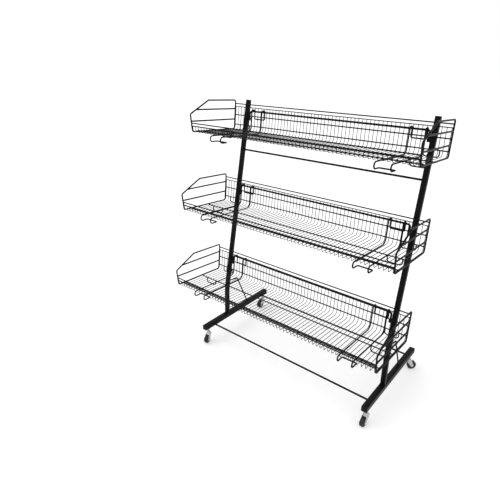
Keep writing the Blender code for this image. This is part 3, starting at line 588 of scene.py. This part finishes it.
ZINC = finish_material("bright_zinc", dark=(0.34, 0.345, 0.36), light=(0.62, 0.63, 0.65),
                       smooth=0.20, rough=0.38, grain_scale=260, relief=0.00003, metallic=1.0,
                       cloud_scale=70, stretch=(1, 1, 0.35))

base_under = BASE_TOP - BASE_SIZE
stem_bottom = PLATE_TOP - SHEET - SEAT_GAP
collar_low = PLATE_TOP + RACE_HEIGHT + SEAT_GAP
collar_top = collar_low + COLLAR_HEIGHT
stem_radius = STEM_DIAMETER * HALF


def threaded(low, high):
    """Rings of a helical thread round Z between two heights."""
    rows = round((high - low) / THREAD_PITCH * THREAD_ROWS)
    rings = []
    for row in range(rows + 1):
        z = low + (high - low) * row / rows
        ring = []
        for step in range(TURNED_STEPS):
            turn = math.tau * step / TURNED_STEPS
            share = (z / THREAD_PITCH + step / TURNED_STEPS) % 1
            radius = stem_radius - THREAD_DEPTH * abs(2 * share - 1)
            ring.append(Vector((radius * math.cos(turn), radius * math.sin(turn), z)))
        rings.append(ring)
    return rings


rivet_low = stem_bottom - RIVET_HEIGHT
stem_rings = turned(((RIVET_RADIUS - BEVEL, rivet_low), (RIVET_RADIUS, rivet_low + BEVEL),
                     (RIVET_RADIUS, stem_bottom), (stem_radius, stem_bottom), (stem_radius, collar_low),
                     (COLLAR_RADIUS - BEVEL, collar_low), (COLLAR_RADIUS, collar_low + BEVEL),
                     (COLLAR_RADIUS, collar_top - BEVEL), (COLLAR_RADIUS - BEVEL, collar_top),
                     (stem_radius - THREAD_DEPTH, collar_top + BEVEL)))
stem_rings += threaded(collar_top + 2 * BEVEL, base_under + STEM_ABOVE_WALL - BEVEL)
stem_rings += turned(((stem_radius - 2 * THREAD_DEPTH, base_under + STEM_ABOVE_WALL),))
stem_mesh = lofted("stem_skin", [stem_rings], ZINC)


def nut_ring(limit, z):
    """Hexagon held inside a circle, which rounds its corners off."""
    flat = NUT_CORNERS * HALF * math.cos(NUT_SIDE * HALF)
    ring = []
    for step in range(NUT_STEPS):
        turn = math.tau * step / NUT_STEPS
        away = (turn + NUT_SIDE * HALF) % NUT_SIDE - NUT_SIDE * HALF
        radius = min(flat / math.cos(away), limit)
        ring.append(Vector((radius * math.cos(turn), radius * math.sin(turn), z)))
    return ring


nut_radius = NUT_CORNERS * HALF
nut_bore = stem_radius + SEAT_GAP
nut_top = base_under - SEAT_GAP
nut_low = nut_top - LOCK_NUT_HEIGHT
nut_face = nut_radius - NUT_CHAMFER
nut_profile = ((nut_bore, nut_low), (nut_face, nut_low), (nut_radius, nut_low + NUT_CHAMFER * HALF),
               (nut_radius, nut_top - NUT_CHAMFER * HALF), (nut_face, nut_top), (nut_bore, nut_top))
nut_mesh = lofted("lock_nut_skin", [[nut_ring(limit, z) for limit, z in nut_profile]], ZINC, loop=True)
swivels = {}
for corner, turn in CASTER_TURNS.items():
    end, side = corner.split("_")
    spot = Matrix.Translation((SIDES[side] * BASE_X, STEM_PLACES[end], 0))
    swivels[corner] = spot @ Matrix.Rotation(math.radians(turn), 4, "Z")
    stem = placed(f"threaded_stem_{corner}", stem_mesh)
    stem.matrix_world = spot
    fitted(stem, "stand", "zinc", f"caster_stem_{corner}")
    nut = placed(f"hexagon_lock_nut_{corner}", nut_mesh)
    nut.matrix_world = spot
    fitted(nut, "stand", "zinc", f"caster_lock_nut_{corner}")
    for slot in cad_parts[f"caster_weld_nut_{corner}"].material_slots:
        slot.material = ZINC

# Caster forks.
# A strip of zinc-plated steel pressed into a fork: round-cornered top plate, two cheeks
# that taper to the axle eyes, and a ball race in a dished cup on the plate.
TRAIL = 0.019
PLATE_REACH = 0.014
EYE_RADIUS = 0.009
WHEEL_WIDTH = 0.020
CHEEK_GAP = 0.001
FORK_BEND = 0.0032
FORK_BEND_STEPS = 6
STRIP_CORNER = 0.0006
STRIP_CORNER_STEPS = 3
STRIP_LEAST_DEPTH = 0.0014
EYE_ANGLES = (12, 25, 40, 55, 70, 85, 100)
CHEEK_STRAIGHT_START = 0.004
CHEEK_STEPS = 6
FRONT_TANGENT = math.radians(205)
REAR_TANGENT = math.radians(15)
RACE_RADIUS = 0.0125
RACE_STEPS = ((0, 0.0022), (0.0006, 0.003), (0.0012, 0.003), (0.0012, 0.0036),
              (0.0004, 0.0038), (0.0004, 0.0052), (0.0022, RACE_HEIGHT))

axle_height = WHEEL_DIAMETER * HALF
cheek_inner = WHEEL_WIDTH * HALF + CHEEK_GAP
cheek_mid = cheek_inner + SHEET * HALF
plate_mid = PLATE_TOP - SHEET * HALF


def cheek_edge(z, tangent, far):
    """Depth of a cheek's edge: on the eye's circle low down, then straight to the plate."""
    touch = (TRAIL + EYE_RADIUS * math.cos(tangent), axle_height + EYE_RADIUS * math.sin(tangent))
    if z <= touch[1]:
        half = math.sqrt(max(EYE_RADIUS ** 2 - (z - axle_height) ** 2, 0))
        return TRAIL + (half if far > 0 else -half)
    share = min((z - touch[1]) / (plate_mid - FORK_BEND - touch[1]), 1)
    return touch[0] + (far - touch[0]) * share


def fork_ring(x, z, lean, front, rear):
    """Rounded cross section of the strip, where its face leans by an angle from level."""
    across = Vector((math.sin(lean), 0, math.cos(lean)))
    middle = Vector((x, (front + rear) * HALF, z))
    depth = max(rear - front, STRIP_LEAST_DEPTH)
    outline = rounded_rectangle(depth, SHEET, STRIP_CORNER, STRIP_CORNER_STEPS)
    return [middle + north * a + across * b for a, b in outline]


fork_rings = []
low_heights = [axle_height - EYE_RADIUS * math.cos(math.radians(angle)) for angle in EYE_ANGLES]
straight_low = axle_height + CHEEK_STRAIGHT_START
straight = plate_mid - FORK_BEND - straight_low
high_heights = [straight_low + straight * step / CHEEK_STEPS for step in range(1, CHEEK_STEPS + 1)]
for sign in (-1, 1):
    side_rings = []
    for z in low_heights + high_heights:
        front, rear = cheek_edge(z, FRONT_TANGENT, -PLATE_REACH), cheek_edge(z, REAR_TANGENT, PLATE_REACH)
        side_rings.append(fork_ring(sign * cheek_mid, z, sign * RIGHT_ANGLE, front, rear))
    for step in range(1, FORK_BEND_STEPS + 1):
        turn = RIGHT_ANGLE * step / FORK_BEND_STEPS
        x = cheek_mid - FORK_BEND * (1 - math.cos(turn))
        z = plate_mid - FORK_BEND * (1 - math.sin(turn))
        lean = sign * (RIGHT_ANGLE - turn)
        side_rings.append(fork_ring(sign * x, z, lean, -PLATE_REACH, PLATE_REACH))
    fork_rings += side_rings if sign < 0 else side_rings[::-1]
fork_mesh = lofted("fork_skin", [fork_rings], ZINC)
race_profile = [(RACE_RADIUS, plate_mid)]
race_profile += [(RACE_RADIUS - inset, PLATE_TOP + rise) for inset, rise in RACE_STEPS]
race_profile.append((stem_radius + SEAT_GAP, PLATE_TOP + RACE_HEIGHT))
race_mesh = lofted("race_skin", [turned(race_profile)], ZINC)

# Caster axles.
# Plain steel rivets through both cheeks and the wheel, closed with low domed heads.
AXLE_DIAMETER = 0.006
AXLE_HEAD_RADIUS = 0.0055
AXLE_HEAD_HEIGHT = 0.0035
DOME_ANGLES = (0, 12, 25, 40, 55, 70, 82)

on_axle = Matrix.Rotation(RIGHT_ANGLE, 4, "Y")
head_base = cheek_inner + SHEET + SEAT_GAP
dome = []
for angle in map(math.radians, DOME_ANGLES):
    dome.append((AXLE_HEAD_RADIUS * math.cos(angle), head_base + AXLE_HEAD_HEIGHT * math.sin(angle)))
axle_profile = dome[::-1] + [(AXLE_DIAMETER * HALF, head_base), (AXLE_DIAMETER * HALF, -head_base)]
axle_profile += [(radius, -z) for radius, z in dome]
axle_mesh = lofted("axle_skin", [turned(axle_profile, on_axle)], ZINC)

# Caster wheels.
# Moulded black wheels, 50 by 20 mm, with a plain rounded tread, dished sides and a hub
# that stands proud next to the cheeks.
TREAD_ROUND = 0.0028
HUB_RADIUS = 0.009
DISH_RADIUS = 0.0185
DISH_DEPTH = 0.0022
HUB_SLOPE = 0.0012
RIM_SLOPE = 0.0016
TREAD_STEPS = 5
WHEEL_STEPS = 64

WHEEL = finish_material("wheel_plastic", dark=(0.008, 0.008, 0.0085), light=(0.016, 0.016, 0.0165),
                        smooth=0.38, rough=0.60, grain_scale=700, relief=0.00005, specular=0.3)

wheel_radius = WHEEL_DIAMETER * HALF
wheel_half = WHEEL_WIDTH * HALF
tread_edge = wheel_half - BEVEL
side_profile = [(AXLE_DIAMETER * HALF + SEAT_GAP, wheel_half), (HUB_RADIUS - BEVEL, wheel_half),
                (HUB_RADIUS, tread_edge), (HUB_RADIUS + HUB_SLOPE, wheel_half - DISH_DEPTH),
                (DISH_RADIUS, wheel_half - DISH_DEPTH), (DISH_RADIUS + RIM_SLOPE, tread_edge)]
for step in range(TREAD_STEPS + 1):
    turn = RIGHT_ANGLE * step / TREAD_STEPS
    side_profile.append((wheel_radius - TREAD_ROUND * (1 - math.sin(turn)),
                         tread_edge - TREAD_ROUND * (1 - math.cos(turn))))
wheel_profile = side_profile + [(radius, -z) for radius, z in reversed(side_profile)]
wheel_mesh = lofted("wheel_skin", [turned(wheel_profile, on_axle, WHEEL_STEPS)], WHEEL, loop=True)
for corner, swivel in swivels.items():
    fork = placed(f"pressed_fork_{corner}", fork_mesh)
    fork.matrix_world = swivel
    fitted(fork, f"fork_{corner}", "zinc", f"caster_fork_{corner}")
    race = placed(f"ball_race_{corner}", race_mesh)
    race.matrix_world = swivel
    fitted(race, f"fork_{corner}", "zinc", f"caster_fork_{corner}")
    spin = swivel @ Matrix.Translation((0, TRAIL, axle_height))
    axle = placed(f"rivet_axle_{corner}", axle_mesh)
    axle.matrix_world = spin
    fitted(axle, f"fork_{corner}", "zinc", f"caster_axle_{corner}")
    wheel = placed(f"moulded_wheel_{corner}", wheel_mesh)
    wheel.matrix_world = spin
    fitted(wheel, f"wheel_{corner}", "wheel", f"caster_wheel_{corner}")

# Basket end panels, long runners and loops.
# Each end is a bent 8 mm wire outline with two bars of the same wire. Seven 6 mm runners join
# the ends, the front one bare, and small bent loops hang under the back and the floor.
BASKET_SHIFTS = {"bottom": 0.003, "middle": -0.006, "top": 0.006}
BASKET_TILT = math.radians(3.74)
RAIL_BEHIND_BACK = 0.029743
RAIL_SEAT_HEIGHT = 0.103
PANEL_X = 0.596
BACK_LEAN = math.radians(0.59)
LIP_LEAN = math.radians(11.94)
BACK_HEIGHT = 0.1584
FRONT_HEIGHT = 0.0896
TOP_LENGTH = 0.222
FLOOR_DEPTH = 0.334
PANEL_CORNER = 0.012
UPPER_BAR = 0.1112
LOWER_BAR = 0.0534
BACK_RUNNERS = (0.1394, 0.0784, 0.0253)
FLOOR_RUNNER = 0.142
FRONT_FLOOR_RUNNER = 0.296
LIP_RUNNER = 0.0295
FRONT_ROD = 0.0440
THIN_WIRE = 0.003
RUNNER_WIRE = 0.006
PANEL_WIRE = 0.008
LOOP_WIRE = 0.006
LOOP_WIDTH = 0.068
LOOP_CORNER = 0.012
LOOP_SETBACK = 0.0048
BACK_LOOP_DROP = 0.0303
FLOOR_LOOP_DROP = 0.0290
FUSED = 0.0003


def at(x, forward, up):
    return Vector((x, -forward, up))


def back(up, offset=0.0):
    return -offset - up * math.tan(BACK_LEAN)


def lip(up, offset=0.0):
    return FLOOR_DEPTH + up * math.tan(LIP_LEAN) + offset / math.cos(LIP_LEAN)


def basket_place(tier):
    """Frame of a basket: its zero is the back bottom corner, where it hangs on its rail."""
    height = RAIL_HEIGHTS[tier]
    return (Matrix.Translation((BASKET_SHIFTS[tier], post_y(height), height))
            @ Matrix.Rotation(-BASKET_TILT, 4, "X")
            @ Matrix.Translation(at(0, RAIL_BEHIND_BACK, -RAIL_SEAT_HEIGHT)))


def on_each_basket(name, data, node=None):
    for tier in RAIL_HEIGHTS:
        piece = placed(f"{name}_{tier}", data)
        piece.matrix_world = basket_place(tier)
        nodes = (f"{node}_{tier}",) if node else ()
        fitted(piece, f"basket_{tier}", "powder_coat", *nodes)


runner_offset = (THIN_WIRE + RUNNER_WIRE) * HALF - FUSED
outlines, bars = [], []
top_front = back(BACK_HEIGHT) + TOP_LENGTH
share = (UPPER_BAR - FRONT_HEIGHT) / (BACK_HEIGHT - FRONT_HEIGHT)
slant = lip(FRONT_HEIGHT) + share * (top_front - lip(FRONT_HEIGHT))
for x in (-PANEL_X, PANEL_X):
    corners = [at(x, 0, 0), at(x, back(BACK_HEIGHT), BACK_HEIGHT), at(x, top_front, BACK_HEIGHT),
               at(x, lip(FRONT_HEIGHT), FRONT_HEIGHT), at(x, lip(0), 0)]
    outlines.append(rounded(corners, PANEL_CORNER, closed=True))
    bars.append([at(x, back(UPPER_BAR), UPPER_BAR), at(x, slant, UPPER_BAR)])
    bars.append([at(x, back(LOWER_BAR), LOWER_BAR), at(x, lip(LOWER_BAR), LOWER_BAR)])
outline_mesh = wires("panel_outline_wire", outlines, PANEL_WIRE, COAT, closed=True)
on_each_basket("panel_outlines", outline_mesh, "basket_frame")
on_each_basket("panel_bars", wires("panel_bar_wire", bars, PANEL_WIRE, COAT), "basket_frame")
runner_places = [(back(up, runner_offset), up) for up in BACK_RUNNERS]
runner_places += [(FLOOR_RUNNER, -runner_offset), (FRONT_FLOOR_RUNNER, runner_offset),
                  (lip(LIP_RUNNER, runner_offset), LIP_RUNNER), (lip(FRONT_ROD), FRONT_ROD)]
runners = [[at(-PANEL_X, forward, up), at(PANEL_X, forward, up)] for forward, up in runner_places]
on_each_basket("long_runners", wires("runner_wire", runners, RUNNER_WIRE, COAT), "basket_frame")
loops = []
low = BACK_RUNNERS[-1]
loop_places = ((back(low, LOOP_SETBACK), low, back(low - BACK_LOOP_DROP, LOOP_SETBACK), BACK_LOOP_DROP),
               (FLOOR_RUNNER, -runner_offset, FLOOR_RUNNER, FLOOR_LOOP_DROP))
for x in (-BASE_X, BASE_X):
    near, far = x - LOOP_WIDTH * HALF, x + LOOP_WIDTH * HALF
    for forward, up, under, drop in loop_places:
        corners = [at(near, forward, up), at(near, under, up - drop), at(far, under, up - drop),
                   at(far, forward, up)]
        loops.append(rounded(corners, LOOP_CORNER))
on_each_basket("bearing_loops", wires("loop_wire", loops, LOOP_WIRE, COAT), "basket_frame")

# Basket grid.
# Sixty 3 mm wires, 20 mm apart, each bent once from the back wall to the floor and again
# up the front lip, spot welded to the runners. A thicker rod trims their top ends.
THIN_COUNT = 60
THIN_PITCH = 0.020
FLOOR_BEND = 0.017
LIP_BEND = 0.006
TRIM_HEIGHT = 0.1241
TRIM_WIRE = 0.0045
LIP_BEND_STEPS = 5
THIN_FINENESS = 2

grid = []
lip_top = LIP_RUNNER + THIN_WIRE * HALF
for index in range(THIN_COUNT):
    x = (index - (THIN_COUNT - 1) * HALF) * THIN_PITCH
    upper = [at(x, back(TRIM_HEIGHT), TRIM_HEIGHT), at(x, 0, 0), at(x, lip(0), 0)]
    lower = [at(x, FLOOR_DEPTH * HALF, 0), at(x, lip(0), 0), at(x, lip(lip_top), lip_top)]
    grid.append(rounded(upper, FLOOR_BEND)[:-1] + rounded(lower, LIP_BEND, LIP_BEND_STEPS)[1:])
grid_mesh = wires("grid_wire", grid, THIN_WIRE, COAT, fineness=THIN_FINENESS)
on_each_basket("grid_wires", grid_mesh, "basket_wires")
trim_end = PANEL_X - PANEL_WIRE * HALF + FUSED
trim = [[at(-trim_end, back(TRIM_HEIGHT), TRIM_HEIGHT), at(trim_end, back(TRIM_HEIGHT), TRIM_HEIGHT)]]
on_each_basket("grid_trim", wires("trim_wire", trim, TRIM_WIRE, COAT), "basket_wires")

# Basket hangers.
# Two closed loops of 7 mm wire under each basket. They run under the floor and up the
# back, hook over the rail behind, and turn down in front as a price-strip hook.
HANGER_WIRE = 0.007
HANGER_X = (0.412, 0.482)
HANGER_CORNER = 0.007
HOOK_CLEARANCE = 0.0012
HOOK_LENGTH = 0.050
FRONT_HOOK_REACH = 0.304
FRONT_HOOK_RADIUS = 0.0147
FRONT_HOOK_TAIL = 0.036
HOOK_STEPS = 14
HANGER_CORNER_STEPS = 6

hanger_offset = runner_offset + (RUNNER_WIRE + HANGER_WIRE) * HALF - FUSED


def hanger_side(x):
    """One leg, from the tail of its front hook to the end of its rear hook."""
    under = -hanger_offset
    centre = under - FRONT_HOOK_RADIUS
    run = [at(x, FRONT_HOOK_REACH - FRONT_HOOK_TAIL, centre - FRONT_HOOK_RADIUS)]
    for step in range(HOOK_STEPS + 1):
        turn = math.pi * (step / HOOK_STEPS - HALF)
        forward = FRONT_HOOK_REACH + FRONT_HOOK_RADIUS * math.cos(turn)
        run.append(at(x, forward, centre + FRONT_HOOK_RADIUS * math.sin(turn)))
    top = RAIL_SEAT_HEIGHT + (RAIL_DIAMETER + HANGER_WIRE) * HALF
    shoulder = at(x, back(top, hanger_offset), top)
    heel = [run[-1], at(x, back(0, hanger_offset), under), shoulder]
    run += rounded(heel, FLOOR_BEND + hanger_offset)[1:-1]
    rear = -RAIL_BEHIND_BACK - RAIL_DIAMETER * HALF - HOOK_CLEARANCE - HANGER_WIRE * HALF
    hook = [run[-1], shoulder, at(x, rear, top), at(x, rear, top - HOOK_LENGTH)]
    run += rounded(hook, HANGER_CORNER)[1:]
    return run


def hanger_loop(sign):
    """Both legs of a hanger, joined across its hooks into one closed run."""
    inner, outer = (hanger_side(sign * x) for x in HANGER_X)
    loop = inner + outer[::-1]
    ends = {0, len(inner) - 1, len(inner), len(loop) - 1}
    path = []
    for index, point in enumerate(loop):
        if index in ends:
            corner = [loop[index - 1], point, loop[(index + 1) % len(loop)]]
            path += rounded(corner, HANGER_CORNER, HANGER_CORNER_STEPS)[1:-1]
        else:
            path.append(point)
    return path


for side, sign in SIDES.items():
    hanger_mesh = wires(f"hanger_wire_{side}", [hanger_loop(sign)], HANGER_WIRE, COAT, closed=True)
    on_each_basket(f"wire_hanger_{side}", hanger_mesh, f"hanger_{side}")

# Studio.
# A wide pale floor and an even white surround, with one broad soft sun and one weaker one.
FLOOR_HALF = 40.0
FLOOR_COLOR = (0.86, 0.86, 0.86, 1)
FLOOR_ROUGHNESS = 0.9
FLOOR_GLOW = 0.30
AMBIENT = 0.62
SUNS = {
    "key": {"energy": 1.1, "width": 60, "tilt": 38, "swing": -35},
    "fill": {"energy": 0.5, "width": 90, "tilt": 50, "swing": 60},
}

floor_mesh = bpy.data.meshes.new("floor")
floor_corners = [(x * FLOOR_HALF, y * FLOOR_HALF, 0) for x, y in ((-1, -1), (1, -1), (1, 1), (-1, 1))]
floor_mesh.from_pydata(floor_corners, [], [(0, 1, 2, 3)])
floor = placed("floor", floor_mesh)
floor.location.z = -SEAT_GAP
floor_material = bpy.data.materials.new("floor")
floor_material.use_nodes = True
tree = floor_material.node_tree
paint = tree.nodes["Principled BSDF"]
paint.inputs["Base Color"].default_value = FLOOR_COLOR
paint.inputs["Roughness"].default_value = FLOOR_ROUGHNESS
paint.inputs["Specular IOR Level"].default_value = 0
glow = tree.nodes.new("ShaderNodeEmission")
glow.inputs["Color"].default_value = (1, 1, 1, 1)
rays = tree.nodes.new("ShaderNodeLightPath")
seen = tree.nodes.new("ShaderNodeMath")
seen.operation = "MAXIMUM"
linked(tree, rays, "Is Camera Ray", seen, 0)
linked(tree, rays, "Is Glossy Ray", seen, 1)
lift = tree.nodes.new("ShaderNodeMath")
lift.operation = "MULTIPLY"
lift.inputs[1].default_value = FLOOR_GLOW
linked(tree, seen, 0, lift, 0)
linked(tree, lift, 0, glow, "Strength")
both = tree.nodes.new("ShaderNodeAddShader")
linked(tree, paint, 0, both, 0)
linked(tree, glow, 0, both, 1)
linked(tree, both, 0, tree.nodes["Material Output"], "Surface")
floor_mesh.materials.append(floor_material)

world = bpy.data.worlds.new("surround")
bpy.context.scene.world = world
world.use_nodes = True
tree = world.node_tree
sky = tree.nodes["Background"]
sky.inputs["Color"].default_value = (1, 1, 1, 1)
rays = tree.nodes.new("ShaderNodeLightPath")
shiny = tree.nodes.new("ShaderNodeMath")
shiny.operation = "MAXIMUM"
linked(tree, rays, "Is Camera Ray", shiny, 0)
linked(tree, rays, "Is Glossy Ray", shiny, 1)
clear = tree.nodes.new("ShaderNodeMath")
clear.operation = "MAXIMUM"
linked(tree, shiny, 0, clear, 0)
linked(tree, rays, "Is Transmission Ray", clear, 1)
level = tree.nodes.new("ShaderNodeMapRange")
level.inputs["To Min"].default_value = AMBIENT
level.inputs["To Max"].default_value = 1
linked(tree, clear, 0, level, "Value")
linked(tree, level, "Result", sky, "Strength")

for name, sun in SUNS.items():
    lamp = bpy.data.lights.new(name, "SUN")
    lamp.energy = sun["energy"]
    lamp.angle = math.radians(sun["width"])
    lamp_object = placed(name, lamp)
    lamp_object.rotation_euler = (math.radians(sun["tilt"]), 0, math.radians(sun["swing"]))

bpy.context.scene.view_settings.view_transform = "Standard"
